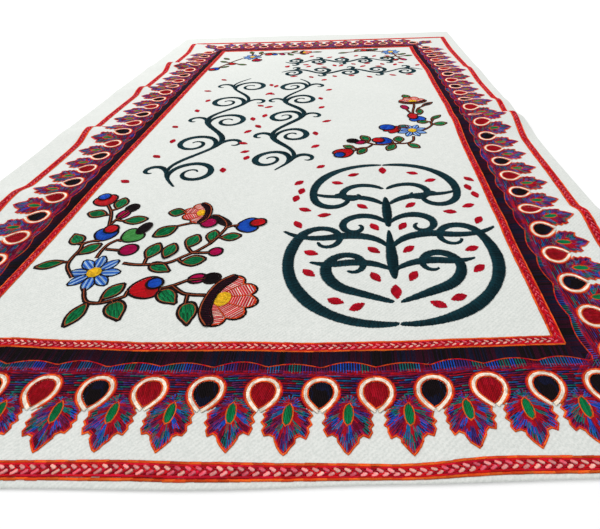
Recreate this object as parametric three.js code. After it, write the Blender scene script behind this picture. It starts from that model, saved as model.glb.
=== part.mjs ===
// Pateh panel: one piece of white wool twill, stitched over with a braided frame and a dense border,
// laid flat with soft ripples running in from its long edges.
// Millimetres, +Z up, +Y along the length, origin on the floor under the middle of the cloth.

import * as THREE from "three";

// Cloth
const CLOTH_WIDTH = 600;
const CLOTH_LENGTH = 982;
const GROUND_THICKNESS = 1.4;

// Stitched frame: the inner braid is a rectangle, and the border is laid out outward from it
const FIELD_WIDTH = 386;
const FIELD_LENGTH = 762;
const FIELD_CENTRE_X = 10;
const FIELD_CENTRE_Y = -25;
const BRAID_WIDTH = 8;
const BRAID_RISE = 1.4;
const BAND_WIDTH = 46;
const BAND_RISE = 0.7;
const BAND_EDGE = 2;
const OUTER_BRAID_OUT = 78;

// Height of the stitching over the bare ground, by distance out from the inner braid's middle
const STITCH_PROFILE = [
  { out: -BRAID_WIDTH / 2, rise: 0 },
  { out: 0, rise: BRAID_RISE },
  { out: BRAID_WIDTH / 2, rise: BAND_RISE },
  { out: BAND_WIDTH, rise: BAND_RISE },
  { out: BAND_WIDTH + BAND_EDGE, rise: 0 },
  { out: OUTER_BRAID_OUT - BRAID_WIDTH / 2, rise: 0 },
  { out: OUTER_BRAID_OUT, rise: BRAID_RISE },
  { out: OUTER_BRAID_OUT + BRAID_WIDTH / 2, rise: 0 },
];

// Ripples that lift the long edges: the crest's place along Y, its height at the outer braid,
// and how far it takes to rise on the near side and to fall on the far side
const RIPPLES = [
  { side: -1, crest: 403, height: 5.7, nearRun: 57, farRun: 24 },
  { side: -1, crest: 248, height: 7.7, nearRun: 37, farRun: 23 },
  { side: -1, crest: 111, height: 5, nearRun: 32, farRun: 22 },
  { side: -1, crest: -59, height: 6.3, nearRun: 42, farRun: 21 },
  { side: -1, crest: -220, height: 4.3, nearRun: 52, farRun: 25 },
  { side: 1, crest: 177, height: 3.5, nearRun: 80, farRun: 28 },
  { side: 1, crest: 15, height: 4, nearRun: 34, farRun: 23 },
  { side: 1, crest: -50, height: 10.4, nearRun: 62, farRun: 29 },
  { side: 1, crest: -272, height: 5, nearRun: 42, farRun: 19 },
];

// Where a ripple starts, out from the inner braid, and how much of it is left at the cloth's edge
const RIPPLE_REACH = [
  { side: -1, start: 0, edgeShare: 0.15 },
  { side: 1, start: -36, edgeShare: 0.35 },
];

// Soft fold along the middle, from when the panel was put away
const CREASE_X = 4;
const CREASE_HALF_WIDTH = 34;
const CREASE_HEIGHT = 1.2;

// Sway: how far each long line of the frame drifts in the plane of the cloth, in mm,
// at even stations from one end of the line to the other
const SWAY_IN_Y = [
  { at: -CLOTH_LENGTH / 2, drift: [0, 1, 0, -1.5, 0.5, 2.5, 4] },
  {
    at: FIELD_CENTRE_Y - FIELD_LENGTH / 2 - OUTER_BRAID_OUT,
    drift: [0, 0.5, 1, 1.2, 1.5, 1.5, 0, -1, -1.8, 2, 1.6, 1.3, 1.2],
  },
  {
    at: FIELD_CENTRE_Y - FIELD_LENGTH / 2,
    drift: [3, 3.5, 4, 3.5, 0.5, -2.2, -2.5, -4.2, -3.8, -2.2, -1, 0.5, 1.5],
  },
  { at: FIELD_CENTRE_Y + FIELD_LENGTH / 2, drift: [1, 0, -1.5, -2, -2, -1.5, 0.5] },
  {
    at: FIELD_CENTRE_Y + FIELD_LENGTH / 2 + OUTER_BRAID_OUT,
    drift: [-2, -5, -8, -8, -6, -5, -4],
  },
  { at: CLOTH_LENGTH / 2, drift: [-6, -3, 0, -2, -5, -6, -2] },
];
const SWAY_IN_X = [
  { at: -CLOTH_WIDTH / 2, drift: [5, 5, 4, 1, -1, 1, 1] },
  { at: FIELD_CENTRE_X - FIELD_WIDTH / 2 - OUTER_BRAID_OUT, drift: [4, 5, 5, 1, 4, 5, 4] },
  { at: FIELD_CENTRE_X - FIELD_WIDTH / 2, drift: [3, 2, -0.7, -0.5, -1, 0, 1] },
  { at: FIELD_CENTRE_X + FIELD_WIDTH / 2, drift: [1.5, 3, 6, 9.5, 7, -1, -4] },
  { at: FIELD_CENTRE_X + FIELD_WIDTH / 2 + OUTER_BRAID_OUT, drift: [-5, -4, 0, 4, 0, -5, -1] },
  { at: CLOTH_WIDTH / 2, drift: [-2, -2, -3, 0, -1, -1, 0] },
];

// Grid: the widest spacing between its lines, and the closest that two of them come
const COLUMN_STEP = 40;
const ROW_STEP = 15;
const CLOSEST_LINES = 1.5;

function smooth(t) {
  const s = Math.min(Math.max(t, 0), 1);
  return s * s * (3 - 2 * s);
}

function distanceOut(x, y) {
  const outX = Math.abs(x - FIELD_CENTRE_X) - FIELD_WIDTH / 2;
  const outY = Math.abs(y - FIELD_CENTRE_Y) - FIELD_LENGTH / 2;
  return Math.max(outX, outY);
}

function stitchRise(x, y) {
  const out = distanceOut(x, y);
  for (let i = 1; i < STITCH_PROFILE.length; i++) {
    const inner = STITCH_PROFILE[i - 1];
    const outer = STITCH_PROFILE[i];
    if (out >= inner.out && out <= outer.out) {
      const share = (out - inner.out) / (outer.out - inner.out);
      return inner.rise + share * (outer.rise - inner.rise);
    }
  }
  return 0;
}

function rippleLift(x, y) {
  let lift = 0;
  for (const ripple of RIPPLES) {
    const reach = RIPPLE_REACH.find((row) => row.side === ripple.side);
    const out = ripple.side * (x - FIELD_CENTRE_X) - FIELD_WIDTH / 2;
    const edgeOut = CLOTH_WIDTH / 2 - ripple.side * FIELD_CENTRE_X - FIELD_WIDTH / 2;
    const grow = smooth((out - reach.start) / (OUTER_BRAID_OUT - reach.start));
    const fade = smooth((out - OUTER_BRAID_OUT) / (edgeOut - OUTER_BRAID_OUT));
    const across = grow * (1 - (1 - reach.edgeShare) * fade);
    const run = y < ripple.crest ? ripple.nearRun : ripple.farRun;
    const along = smooth(1 - Math.abs(y - ripple.crest) / run);
    lift = Math.max(lift, ripple.height * across * along);
  }
  return lift;
}

function creaseLift(x, y) {
  const across = smooth(1 - Math.abs(x - CREASE_X) / CREASE_HALF_WIDTH);
  const along = smooth(-distanceOut(x, y) / CREASE_HALF_WIDTH);
  return CREASE_HEIGHT * across * along;
}

function lift(x, y) {
  return rippleLift(x, y) + creaseLift(x, y);
}

// Value of a drift row at a share of the way along its line
function driftAt(drift, share) {
  const place = Math.min(Math.max(share, 0), 1) * (drift.length - 1);
  const station = Math.min(Math.floor(place), drift.length - 2);
  const blend = smooth(place - station);
  return drift[station] + blend * (drift[station + 1] - drift[station]);
}

// Drift between the two lines on either side of a place
function sway(lines, place, share) {
  let i = 1;
  while (i < lines.length - 1 && place > lines[i].at) {
    i++;
  }
  const low = lines[i - 1];
  const high = lines[i];
  const blend = (place - low.at) / (high.at - low.at);
  const lowDrift = driftAt(low.drift, share);
  const highDrift = driftAt(high.drift, share);
  return lowDrift + blend * (highDrift - lowDrift);
}

function swayed(x, y) {
  const shareX = x / CLOTH_WIDTH + 0.5;
  const shareY = y / CLOTH_LENGTH + 0.5;
  return [x + sway(SWAY_IN_X, x, shareY), y + sway(SWAY_IN_Y, y, shareX)];
}

// Lines where the stitching changes height, on both sides of the frame
function frameLines(centre, size) {
  const lines = [];
  for (const side of [-1, 1]) {
    for (const row of STITCH_PROFILE) {
      lines.push(centre + side * (size / 2 + row.out));
    }
  }
  return lines;
}

// Sorted grid lines through all the given places, with even ones between them where they lie far apart
function gridLines(places, step) {
  const sorted = [...places].sort((a, b) => a - b);
  const lines = [sorted[0]];
  for (const place of sorted.slice(1)) {
    const last = lines[lines.length - 1];
    const gap = place - last;
    if (gap < CLOSEST_LINES) {
      continue;
    }
    const parts = Math.ceil(gap / step);
    for (let i = 1; i <= parts; i++) {
      lines.push(last + (gap * i) / parts);
    }
  }
  return lines;
}

function clothGeometry() {
  const columns = gridLines([
    -CLOTH_WIDTH / 2,
    CLOTH_WIDTH / 2,
    CREASE_X - CREASE_HALF_WIDTH,
    CREASE_X,
    CREASE_X + CREASE_HALF_WIDTH,
    ...frameLines(FIELD_CENTRE_X, FIELD_WIDTH),
  ], COLUMN_STEP);
  const rows = gridLines([
    -CLOTH_LENGTH / 2,
    CLOTH_LENGTH / 2,
    ...RIPPLES.map((ripple) => ripple.crest),
    ...RIPPLES.map((ripple) => ripple.crest + ripple.farRun),
    ...frameLines(FIELD_CENTRE_Y, FIELD_LENGTH),
  ], ROW_STEP);

  const positions = [];
  for (const isTop of [false, true]) {
    for (const y of rows) {
      for (const x of columns) {
        const thickness = isTop ? GROUND_THICKNESS + stitchRise(x, y) : 0;
        positions.push(...swayed(x, y), lift(x, y) + thickness);
      }
    }
  }

  const across = columns.length;
  const layer = across * rows.length;
  const faces = [];
  const addQuad = (a, b, c, d) => faces.push(a, b, c, a, c, d);
  for (let row = 0; row < rows.length - 1; row++) {
    for (let column = 0; column < across - 1; column++) {
      const corner = row * across + column;
      const ring = [corner, corner + 1, corner + across + 1, corner + across];
      addQuad(ring[3], ring[2], ring[1], ring[0]);
      addQuad(...ring.map((index) => index + layer));
    }
  }

  // The cut edge, walked round the rim with the cloth on its left
  const rim = [];
  for (let column = 0; column < across - 1; column++) {
    rim.push(column);
  }
  for (let row = 0; row < rows.length - 1; row++) {
    rim.push(row * across + across - 1);
  }
  for (let column = across - 1; column > 0; column--) {
    rim.push((rows.length - 1) * across + column);
  }
  for (let row = rows.length - 1; row > 0; row--) {
    rim.push(row * across);
  }
  rim.forEach((from, i) => {
    const to = rim[(i + 1) % rim.length];
    addQuad(from, to, to + layer, from + layer);
  });

  const geometry = new THREE.BufferGeometry();
  geometry.setAttribute("position", new THREE.Float32BufferAttribute(positions, 3));
  geometry.setIndex(faces);
  geometry.computeVertexNormals();
  return geometry;
}

const woolTwill = new THREE.MeshStandardMaterial({
  color: new THREE.Color(0.8, 0.8, 0.76),
  roughness: 0.95,
  metalness: 0,
});

const panel = new THREE.Group();
const groundCloth = new THREE.Mesh(clothGeometry(), woolTwill);
groundCloth.name = "ground_cloth";
panel.add(groundCloth);

export default panel;
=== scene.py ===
import math
import random
from collections import namedtuple
from functools import partial

import bpy
import numpy as np
from mathutils import Matrix, Vector


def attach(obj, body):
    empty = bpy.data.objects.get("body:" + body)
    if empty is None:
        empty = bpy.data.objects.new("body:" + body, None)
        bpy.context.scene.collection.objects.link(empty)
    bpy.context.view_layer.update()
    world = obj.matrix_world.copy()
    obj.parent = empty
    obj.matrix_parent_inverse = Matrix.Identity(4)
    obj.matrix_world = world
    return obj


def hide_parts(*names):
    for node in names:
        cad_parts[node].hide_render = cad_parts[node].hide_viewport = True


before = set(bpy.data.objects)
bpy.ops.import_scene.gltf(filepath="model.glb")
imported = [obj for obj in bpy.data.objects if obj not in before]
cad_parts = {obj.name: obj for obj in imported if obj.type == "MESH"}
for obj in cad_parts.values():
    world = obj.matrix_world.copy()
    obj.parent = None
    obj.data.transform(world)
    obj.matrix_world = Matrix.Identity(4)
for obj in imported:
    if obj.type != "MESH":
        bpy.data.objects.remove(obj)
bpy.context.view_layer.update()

MM = 0.001
chance = random.Random(7)

# Cloth, the widest spacing of its grid, and its rounded edge with the grid lines that shape it
CLOTH_WIDTH = 600
CLOTH_LENGTH = 982
GROUND_THICKNESS = 1.4
GROUND_COLUMN_STEP = 8
GROUND_ROW_STEP = 4.5
EDGE_ROUND = 1.2
EDGE_LINES = [0, 0.25, 0.6, 1.2, 2.2]

# Stitched frame: the inner braid is a rectangle, and the border is laid out outward from it
HALF_WIDTH = 193
HALF_LENGTH = 381
CENTRE_X = 10
CENTRE_Y = -25
OUTER_BRAID_OUT = 78
MOTIF_PITCH = 32

# Ripples that lift the long edges, side -1 on the left and 1 on the right
Ripple = namedtuple("Ripple", "side crest height near_run far_run")
RIPPLES = [
    Ripple(-1, 403, 5.7, 57, 24),
    Ripple(-1, 248, 7.7, 37, 23),
    Ripple(-1, 111, 5, 32, 22),
    Ripple(-1, -59, 6.3, 42, 21),
    Ripple(-1, -220, 4.3, 52, 25),
    Ripple(1, 177, 3.5, 80, 28),
    Ripple(1, 15, 4, 34, 23),
    Ripple(1, -50, 10.4, 62, 29),
    Ripple(1, -272, 5, 42, 19),
]
# Where a side's ripples start, out from the inner braid, and what is left of them at the cloth's edge
RIPPLE_START = {-1: 0, 1: -36}
RIPPLE_EDGE_SHARE = {-1: 0.15, 1: 0.35}

# Soft fold along the middle, from when the panel was put away
CREASE_X = 4
CREASE_HALF_WIDTH = 34
CREASE_HEIGHT = 1.2

# How far each long line of the frame drifts in the plane, at even stations from one end to the other
Line = namedtuple("Line", "at drift")
SWAY_IN_Y = [
    Line(-CLOTH_LENGTH / 2, [0, 1, 0, -1.5, 0.5, 2.5, 4]),
    Line(
        CENTRE_Y - HALF_LENGTH - OUTER_BRAID_OUT,
        [0, 0.5, 1, 1.2, 1.5, 1.5, 0, -1, -1.8, 2, 1.6, 1.3, 1.2],
    ),
    Line(CENTRE_Y - HALF_LENGTH, [3, 3.5, 4, 3.5, 0.5, -2.2, -2.5, -4.2, -3.8, -2.2, -1, 0.5, 1.5]),
    Line(CENTRE_Y + HALF_LENGTH, [1, 0, -1.5, -2, -2, -1.5, 0.5]),
    Line(CENTRE_Y + HALF_LENGTH + OUTER_BRAID_OUT, [-2, -5, -8, -8, -6, -5, -4]),
    Line(CLOTH_LENGTH / 2, [-6, -3, 0, -2, -5, -6, -2]),
]
SWAY_IN_X = [
    Line(-CLOTH_WIDTH / 2, [5, 5, 4, 1, -1, 1, 1]),
    Line(CENTRE_X - HALF_WIDTH - OUTER_BRAID_OUT, [4, 5, 5, 1, 4, 5, 4]),
    Line(CENTRE_X - HALF_WIDTH, [3, 2, -0.7, -0.5, -1, 0, 1]),
    Line(CENTRE_X + HALF_WIDTH, [1.5, 3, 6, 9.5, 7, -1, -4]),
    Line(CENTRE_X + HALF_WIDTH + OUTER_BRAID_OUT, [-5, -4, 0, 4, 0, -5, -1]),
    Line(CLOTH_WIDTH / 2, [-2, -2, -3, 0, -1, -1, 0]),
]

# Yarn: a stitch's usual width and height, how far it stands off the cloth's face, and how much longer
# than its run it is, so that the stitches of a row meet
STITCH_WIDTH = 1.05
STITCH_HEIGHT = 0.6
STITCH_CLEARANCE = 0.05
STITCH_OVERLAP = 0.5
YARN_SHADES = {
    "crimson": (190, 18, 42),
    "dark crimson": (112, 8, 26),
    "red": (224, 24, 38),
    "drop red": (176, 12, 30),
    "scarlet": (205, 32, 38),
    "petal red": (216, 36, 58),
    "orange": (252, 116, 42),
    "burnt orange": (234, 88, 32),
    "cream": (255, 244, 228),
    "blush": (250, 190, 178),
    "pale pink": (246, 168, 166),
    "pink": (240, 112, 130),
    "raspberry": (226, 24, 58),
    "magenta": (196, 12, 92),
    "maroon": (58, 12, 36),
    "plum": (118, 40, 100),
    "wine": (132, 14, 58),
    "violet": (78, 54, 142),
    "navy": (24, 26, 54),
    "black": (26, 16, 20),
    "dusk": (42, 22, 50),
    "royal blue": (34, 96, 206),
    "sea blue": (28, 118, 176),
    "sky blue": (104, 164, 232),
    "ice blue": (206, 226, 244),
    "teal": (18, 126, 122),
    "teal shade": (16, 52, 60),
    "scroll red": (204, 12, 44),
    "deep teal": (18, 62, 72),
    "green": (16, 148, 88),
    "dark green": (14, 106, 66),
    "light green": (92, 178, 96),
    "yellow": (255, 212, 48),
    "bark": (196, 100, 60),
    "soot": (30, 12, 12),
}


def linear(shade):
    """A screen shade from 0 to 255 as the light that it gives back, in a straight line near black."""
    return tuple(((c / 255 + 0.055) / 1.055) ** 2.4 if c > 10 else c / 3294 for c in shade)


YARN = {name: linear(shade) for name, shade in YARN_SHADES.items()}


# The surface that the cloth lies in

def smooth(t):
    s = np.clip(t, 0.0, 1.0)
    return s * s * (3 - 2 * s)


def distance_out(x, y):
    """How far a place lies outside the inner braid, below zero inside it."""
    return np.maximum(abs(x - CENTRE_X) - HALF_WIDTH, abs(y - CENTRE_Y) - HALF_LENGTH)


def ripple_lift(x, y):
    lift = np.zeros(np.shape(x))
    for ripple in RIPPLES:
        start = RIPPLE_START[ripple.side]
        out = ripple.side * (x - CENTRE_X) - HALF_WIDTH
        edge_out = CLOTH_WIDTH / 2 - ripple.side * CENTRE_X - HALF_WIDTH
        grow = smooth((out - start) / (OUTER_BRAID_OUT - start))
        fade = smooth((out - OUTER_BRAID_OUT) / (edge_out - OUTER_BRAID_OUT))
        across = grow * (1 - (1 - RIPPLE_EDGE_SHARE[ripple.side]) * fade)
        run = np.where(y < ripple.crest, ripple.near_run, ripple.far_run)
        along = smooth(1 - abs(y - ripple.crest) / run)
        lift = np.maximum(lift, ripple.height * across * along)
    return lift


def crease_lift(x, y):
    across = smooth(1 - abs(x - CREASE_X) / CREASE_HALF_WIDTH)
    along = smooth(-distance_out(x, y) / CREASE_HALF_WIDTH)
    return CREASE_HEIGHT * across * along


def drift_at(drift, share):
    """A drift row's value at a share of the way along its line."""
    values = np.array(drift, float)
    place = np.clip(share, 0, 1) * (len(values) - 1)
    station = np.minimum(place.astype(int), len(values) - 2)
    blend = smooth(place - station)
    return values[station] * (1 - blend) + values[station + 1] * blend


def sway(lines, place, share):
    """Drift between the two lines on either side of a place."""
    at = np.array([line.at for line in lines])
    drifts = np.array([drift_at(line.drift, share) for line in lines])
    index = np.clip(np.searchsorted(at, place) - 1, 0, len(lines) - 2)
    blend = (place - at[index]) / (at[index + 1] - at[index])
    item = np.arange(len(place))
    return drifts[index, item] * (1 - blend) + drifts[index + 1, item] * blend


def cloth_points(x, y, height=0.0):
    """Layout places as points on the lying cloth, height above its face, in metres."""
    share_x = x / CLOTH_WIDTH + 0.5
    share_y = y / CLOTH_LENGTH + 0.5
    lift = ripple_lift(x, y) + crease_lift(x, y)
    placed_x = x + sway(SWAY_IN_X, x, share_y)
    placed_y = y + sway(SWAY_IN_Y, y, share_x)
    return np.stack([placed_x, placed_y, lift + height + 0 * x], axis=-1) * MM


def cloth_facing(x, y):
    """The direction that the cloth's face looks in, at each layout place."""
    reach = 0.5
    across = cloth_points(x + reach, y) - cloth_points(x - reach, y)
    along = cloth_points(x, y + reach) - cloth_points(x, y - reach)
    facing = np.cross(across, along)
    return facing / np.linalg.norm(facing, axis=-1, keepdims=True)


# Node trees

class Socket:
    """One output of a tree. Sums, differences, products and quotients of it add Math nodes."""

    def __init__(self, board, link):
        self.board = board
        self.link = link

    def math(self, operation, *others):
        return self.board.math(operation, self, *others)

    def __add__(self, other):
        return self.math("ADD", other)

    __radd__ = __add__

    def __sub__(self, other):
        return self.math("SUBTRACT", other)

    def __rsub__(self, other):
        return self.board.math("SUBTRACT", other, self)

    def __mul__(self, other):
        return self.math("MULTIPLY", other)

    __rmul__ = __mul__

    def __truediv__(self, other):
        return self.math("DIVIDE", other)


class Board:
    """A node tree that is being built."""

    def __init__(self, tree):
        self.tree = tree

    def node(self, kind, settings=None, feeds=None):
        """Adds a node of a type, with its settings made first, then its sockets fed by name or place."""
        made = self.tree.nodes.new(kind)
        for name, value in (settings or {}).items():
            setattr(made, name, value)
        for key, value in (feeds or {}).items():
            if isinstance(value, Socket):
                self.tree.links.new(value.link, made.inputs[key])
            else:
                made.inputs[key].default_value = value
        return made

    def out(self, kind, settings=None, feeds=None, output=0):
        return Socket(self, self.node(kind, settings, feeds).outputs[output])

    def math(self, operation, *values):
        kind = "ShaderNodeMath"
        return self.out(kind, {"operation": operation}, dict(enumerate(values)))

    def vector_math(self, operation, *values, output=0):
        kind = "ShaderNodeVectorMath"
        return self.out(kind, {"operation": operation}, dict(enumerate(values)), output)

    def vector(self, x, y=0.0, z=0.0):
        return self.out("ShaderNodeCombineXYZ", {}, {0: x, 1: y, 2: z})

    def split(self, vector):
        """A vector's three numbers."""
        parts = self.node("ShaderNodeSeparateXYZ", {}, {0: vector})
        return [Socket(self, parts.outputs[axis]) for axis in "XYZ"]

    def noise(self, places, scale, detail):
        return self.out("ShaderNodeTexNoise", {}, {"Vector": places, "Scale": scale, "Detail": detail})

    def mix(self, share, first, second):
        """One colour turning into another as share goes from 0 to 1."""
        feeds = {"Factor": share, 6: first, 7: second}
        return self.out("ShaderNodeMix", {"data_type": "RGBA"}, feeds, 2)

    def smooth_step(self, value, low, high):
        feeds = {"Value": value, "From Min": low, "From Max": high}
        return self.out("ShaderNodeMapRange", {"interpolation_type": "SMOOTHSTEP"}, feeds)


# Finishes

def plain_finish(name, roughness, sheen):
    """A cloth finish whose colour and bump are still to be fed."""
    material = bpy.data.materials.new(name)
    material.use_nodes = True
    shader = material.node_tree.nodes["Principled BSDF"]
    for socket, value in (
        ("Roughness", roughness),
        ("Specular IOR Level", 0.1),
        ("Sheen Weight", sheen),
        ("Sheen Roughness", 0.5),
    ):
        shader.inputs[socket].default_value = value
    return material, Board(material.node_tree), shader


def feed_surface(board, shader, colour, height, distance, strength):
    feeds = {"Height": height, "Distance": distance, "Strength": strength}
    bump = board.out("ShaderNodeBump", {}, feeds)
    board.tree.links.new(colour.link, shader.inputs["Base Color"])
    board.tree.links.new(bump.link, shader.inputs["Normal"])


def wool_twill():
    """Off-white wool twill: fine ribs that climb to the right, broken by the cross threads, with painted
    shade in the hollows between them.
    """
    material, board, shader = plain_finish("wool twill", 0.92, 0.15)
    places = board.out("ShaderNodeTexCoord", output=3)
    x, y, _ = board.split(places)
    drift = board.noise(places, 55.0, 2.0)
    nap = board.noise(places, 1000.0, 1.0)
    cloudy = board.noise(places, 9.0, 3.0)
    slub = board.noise(places, 240.0, 2.0)
    rib_pitch = 2.2 * MM
    rib_lean = math.radians(42)
    thread_pitch = 0.62 * MM
    rib_phase = (x * math.sin(rib_lean) - y * math.cos(rib_lean)) / rib_pitch + drift * 0.5
    rib = board.math("SINE", rib_phase * math.tau) * 0.5 + 0.5
    thread = board.math("SINE", y / thread_pitch * math.tau) * 0.5 + 0.5
    relief = rib * 0.17 + thread * 0.1 + nap * 0.95 + slub * 0.35
    # Colour follows the relief: painted shade in the hollows between ribs and threads, and the nap, slubs
    # and cloudy patches as the cloth's own uneven tone
    shade = board.smooth_step(relief, 0.35, 1.2) * 0.8 + cloudy * 0.3
    shaded_hollow_colour = (0.57, 0.6, 0.57, 1)
    raised_shade = (0.785, 0.8, 0.765, 1)
    colour = board.mix(shade, shaded_hollow_colour, raised_shade)
    feed_surface(board, shader, colour, relief, distance=0.22 * MM, strength=0.5)
    return material


def wool_yarn():
    """Two-ply wool yarn in each stitch's own shade, with painted shade in the groove between the plies and
    on the flanks where stitches meet.
    """
    material, board, shader = plain_finish("wool yarn", 0.85, 0.0)
    shade = board.out("ShaderNodeAttribute", {"attribute_name": "shade"}, output=0)
    ply = board.out("ShaderNodeAttribute", {"attribute_name": "ply"}, output=1)
    along, around, _ = board.split(ply)
    ply_length = 1.5 * MM
    twist = board.math("SINE", (along / ply_length + around) * math.tau * 2) * 0.5 + 0.5
    places = board.out("ShaderNodeTexCoord", output=3)
    fuzz = board.noise(places, 1400.0, 2.0)
    # Painted shade: the colour darkens on the stitch's flanks, where it meets its neighbours, and in the
    # twist's groove
    flank_shade = board.smooth_step(board.math("ABSOLUTE", around), 0.12, 0.26)
    lit = twist * 0.18 + fuzz * 0.8 - flank_shade * 0.35
    # deep is the painted shade colour: the yarn's own shade darkened, dark yarns more than pale ones
    deep = board.mix(0.75, shade, board.vector_math("MULTIPLY", shade, shade))
    colour = board.mix(board.smooth_step(lit, -0.05, 0.5), deep, shade)
    feed_surface(board, shader, colour, twist + fuzz, distance=0.18 * MM, strength=0.6)
    return material


# Stitches

class Stitches:
    """The stitches of one piece, each from where the needle comes up to where it goes down."""

    def __init__(self):
        self.ends = []
        self.looks = []

    def lay(self, start, end, yarn, width=STITCH_WIDTH, lift=0.0):
        self.ends.append((start[0], start[1], end[0], end[1]))
        self.looks.append((*YARN[yarn], width, lift))


def keep(board, geometry, name, value, kind="FLOAT_VECTOR", domain="POINT"):
    """The geometry with a named value stored on it."""
    settings = {"data_type": kind, "domain": domain}
    feeds = {"Geometry": geometry, "Name": name, "Value": value}
    return board.out("GeometryNodeStoreNamedAttribute", settings, feeds)


def kept(board, name, kind="FLOAT_VECTOR"):
    """A value that was stored by name."""
    return board.out("GeometryNodeInputNamedAttribute", {"data_type": kind}, {"Name": name})


def one_stitch(board, sides):
    """A stitch a unit long and thick: a short prism lying along x with a drawn-out point at each end."""
    body_length = 0.8
    flat_share = 0.4
    prism = board.out("GeometryNodeMeshCylinder", {"fill_type": "TRIANGLE_FAN"}, {
        "Vertices": sides, "Radius": 0.5, "Depth": body_length,
    })
    px, py, pz = board.split(board.out("GeometryNodeInputPosition"))
    is_tip = board.math("LESS_THAN", board.math("SQRT", px * px + py * py), 0.1)
    along = pz + board.math("SIGN", pz) * is_tip * (0.5 - body_length / 2)
    up = board.math("MAXIMUM", px, px * flat_share)
    full_width = 1 / math.sin(math.pi * 2 / 3)
    # Swapping two axes turns the faces inwards, and the minus sign turns them out again
    shaped = board.vector(along, py * -full_width, up)
    stitch = board.out("GeometryNodeSetPosition", {}, {"Geometry": prism, "Position": shaped})
    around = board.math("ARCTAN2", py, px) / math.tau
    return keep(board, stitch, "ply", board.vector(along, around))


def stitch_tree():
    """Geometry Nodes that lay one round, pointed stitch of yarn along every edge of a guide."""
    tree = bpy.data.node_groups.new("yarn stitches", "GeometryNodeTree")
    board = Board(tree)
    for name, kind, value in (
        ("Guide", "Geometry", None),
        ("Sides", "Int", 3),
        ("Height", "Float", STITCH_HEIGHT * MM),
        ("Overlap", "Float", STITCH_OVERLAP * MM),
        ("Unevenness", "Float", 0.12),
        ("Shade Unevenness", "Float", 0.2),
        ("Seed", "Int", 3),
        ("Yarn", "Material", None),
    ):
        socket = tree.interface.new_socket(name, in_out="INPUT", socket_type="NodeSocket" + kind)
        if value is not None:
            socket.default_value = value
    tree.interface.new_socket("Stitches", in_out="OUTPUT", socket_type="NodeSocketGeometry")
    group = board.node("NodeGroupInput")
    given = {s.name: Socket(board, s) for s in group.outputs if s.name}
    stitch = one_stitch(board, given["Sides"])

    # Each edge of the guide is a point with its own run, facing, width and shade
    ends = board.node("GeometryNodeInputMeshEdgeVertices")
    first, last = (Socket(board, ends.outputs["Position " + number]) for number in "12")
    guide = keep(board, given["Guide"], "run", board.vector_math("SUBTRACT", last, first), domain="EDGE")
    points = board.out("GeometryNodeMeshToPoints", {"mode": "EDGES"}, {"Mesh": guide})
    run = kept(board, "run")
    length = board.vector_math("LENGTH", run, output=1)

    def chance_about_one(spread, seed):
        feeds = {2: 1 - spread, 3: 1 + spread, "Seed": seed}
        return board.out("FunctionNodeRandomValue", {"data_type": "FLOAT"}, feeds, 1)

    uneven = chance_about_one(given["Unevenness"], given["Seed"])
    shade_share = chance_about_one(given["Shade Unevenness"], given["Seed"] + 1)
    width = kept(board, "width", "FLOAT") * uneven
    size = board.vector(length + given["Overlap"], width, given["Height"] * uneven)
    turn = board.out("FunctionNodeAlignRotationToVector", {"axis": "Z"}, {"Vector": kept(board, "facing")})
    turn = board.out("FunctionNodeAlignRotationToVector", {"axis": "X", "pivot_axis": "Z"}, {
        "Rotation": turn, "Vector": run,
    })
    laid = board.out("GeometryNodeInstanceOnPoints", {}, {
        "Points": points, "Instance": stitch, "Rotation": turn, "Scale": size,
    })
    feeds = {0: kept(board, "shade", "FLOAT_COLOR"), "Scale": shade_share}
    shade = board.out("ShaderNodeVectorMath", {"operation": "SCALE"}, feeds)
    laid = keep(board, laid, "shade", shade, "FLOAT_COLOR", "INSTANCE")
    laid = keep(board, laid, "stitch length", length, "FLOAT", "INSTANCE")
    whole = board.out("GeometryNodeRealizeInstances", {}, {"Geometry": laid})
    stretch = board.vector(kept(board, "stitch length", "FLOAT"), 1.0, 1.0)
    whole = keep(board, whole, "ply", board.vector_math("MULTIPLY", kept(board, "ply"), stretch))
    for name in ("run", "facing", "width", "stitch length"):
        whole = board.out("GeometryNodeRemoveAttribute", {}, {"Geometry": whole, "Name": name})
    whole = board.out("GeometryNodeSetMaterial", {}, {"Geometry": whole, "Material": given["Yarn"]})
    board.node("NodeGroupOutput", {}, {0: whole})
    return tree


def add_object(name, data):
    """A new object in the scene."""
    made = bpy.data.objects.new(name, data)
    bpy.context.scene.collection.objects.link(made)
    return made


def map_from_above(mesh):
    """A map of the piece as seen from above, so that each stitch keeps its own place on it."""
    corners = np.empty(len(mesh.loops), int)
    mesh.loops.foreach_get("vertex_index", corners)
    places = np.empty(len(mesh.vertices) * 3)
    mesh.vertices.foreach_get("co", places)
    flat = places.reshape(-1, 3)[:, :2]
    low = flat.min(0)
    flat = (flat - low) / (flat.max(0) - low)
    layer = mesh.uv_layers.new(name="OFBake")
    layer.uv.foreach_set("vector", flat[corners].astype(np.float32).ravel())


def finished_piece(name, mesh):
    mesh.shade_smooth()
    piece = add_object(name, mesh)
    map_from_above(mesh)
    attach(piece, "root")
    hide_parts("ground_cloth")
    return piece


def bent_over_crests(ends, looks):
    """Halves each stitch that would cut through the cloth where it lies over a ripple's crest."""
    deepest = 0.12 * MM
    lap_share = 0.04
    for _ in range(2):
        first, last = ends[:, :2], ends[:, 2:]
        middle = (first + last) / 2
        chord = (cloth_points(*first.T) + cloth_points(*last.T))[:, 2] / 2
        buried = cloth_points(*middle.T)[:, 2] - chord > deepest
        lap = (last - first) * lap_share
        near = np.hstack([first, middle + lap])[buried]
        far = np.hstack([middle - lap, last])[buried]
        ends = np.concatenate([ends[~buried], near, far])
        looks = np.concatenate([looks[~buried], looks[buried], looks[buried]])
    return ends, looks


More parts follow.
